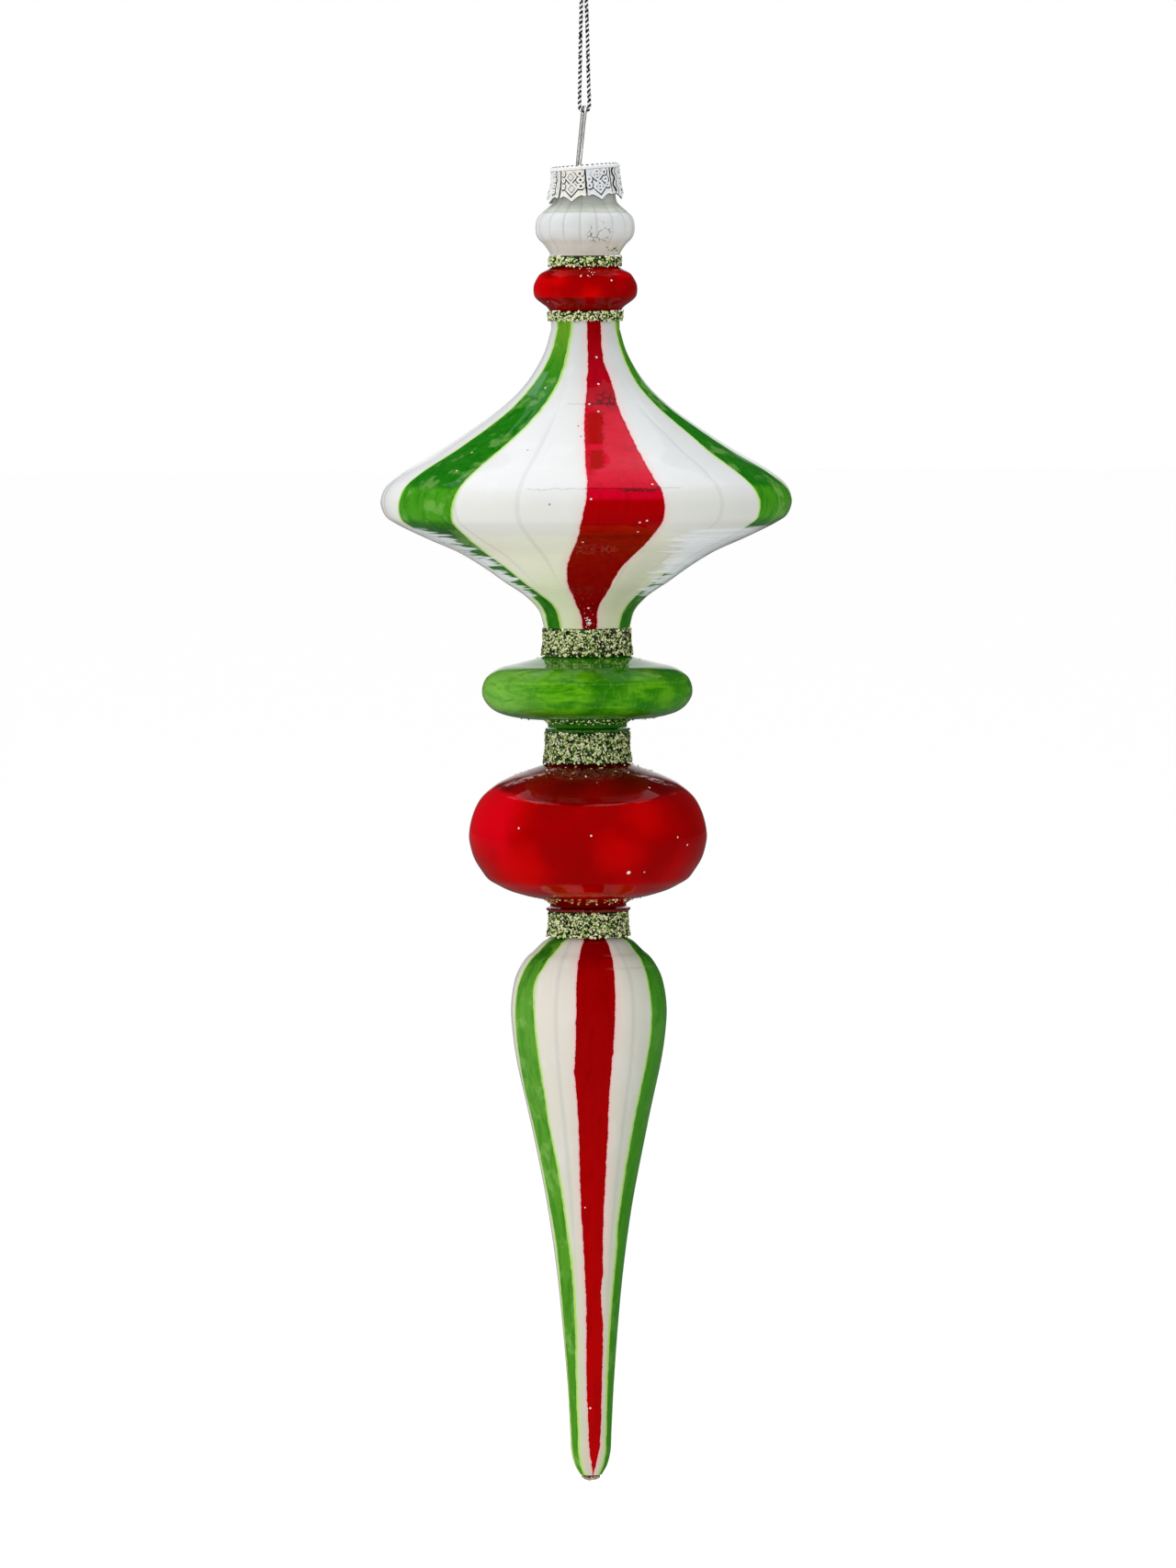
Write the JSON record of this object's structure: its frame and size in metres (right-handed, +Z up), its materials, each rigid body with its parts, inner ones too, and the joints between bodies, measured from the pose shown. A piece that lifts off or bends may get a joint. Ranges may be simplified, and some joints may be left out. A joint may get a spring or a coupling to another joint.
{
  "type": "glass finial ornament",
  "caption": "Long hanging finial ornament of blown glass bulbs, a disc and a tapering drop, striped and banded with glitter, with a silver cap, sprung wire and cord.",
  "frame": {"origin": "where the hook or twig bears inside the top of the cord's loop", "axes": "+Z up along the ornament's axis; the side with a red stripe in the middle faces -Y, and +X is its right"},
  "size_m": [0.095, 0.0944, 0.3662],
  "materials": {
    "silver_cord": "twisted metallic thread",
    "wire": "bright drawn wire",
    "stamped_cap": "bright stamped sheet with dark oxide in the relief",
    "white_glass": "glossy blown glass over white lacquer",
    "red_glass": "glossy blown glass over red lacquer",
    "green_glass": "glossy blown glass over brushed green lacquer",
    "striped_glass": "glossy blown glass, white with red and green stripes",
    "glitter": "coarse lime and silver glitter",
    "cement": "clear cement with fine glitter",
    "seal": "rough speckled cement"
  },
  "bodies": {
    "hanging_loop": {"cord_loop": "silver_cord"},
    "knot": {"cord_knot": "silver_cord"},
    "strands": {"cord_strands": "silver_cord"},
    "hanger": {"wire_hanger": "wire"},
    "cap": {"cap": "stamped_cap"},
    "glass": {"crown_bulb": "white_glass", "small_red_bulb": "red_glass", "striped_bulb": "striped_glass", "green_disc": "green_glass", "red_oval_bulb": "red_glass", "striped_drop": "striped_glass", "glitter_band_1": "glitter", "glitter_band_2": "glitter", "glitter_band_3": "glitter", "glitter_band_4": "glitter", "glitter_band_5": "glitter", "cement_ring_1": "cement", "cement_ring_2": "cement", "cement_ring_3": "cement", "cement_ring_4": "cement", "cement_ring_5": "cement", "tip_seal": "seal"}
  },
  "joints": [
    {"name": "cord_sway", "type": "hinge", "parent": "hanging_loop", "child": "knot", "pos_m": [0, 0, -0.0154], "axis": [1, 0, 0], "range_deg": [-80, 80]},
    {"name": "cord_twist", "type": "hinge", "parent": "knot", "child": "strands", "pos_m": [0, 0, -0.0154], "axis": [0, 0, 1], "continuous": true},
    {"name": "ornament_swing", "type": "hinge", "parent": "strands", "child": "hanger", "pos_m": [0, 0, -0.04705], "axis": [0, 1, 0], "range_deg": [-80, 80]},
    {"name": "cap_turn", "type": "hinge", "parent": "hanger", "child": "cap", "pos_m": [0, 0, -0.06], "axis": [-0.0698, 0, 0.9976], "continuous": true},
    {"name": "hanger_pull_out", "type": "slide", "parent": "hanger", "child": "glass", "axis": [0, 0, -1], "range_m": [0, 0.02]}
  ]
}
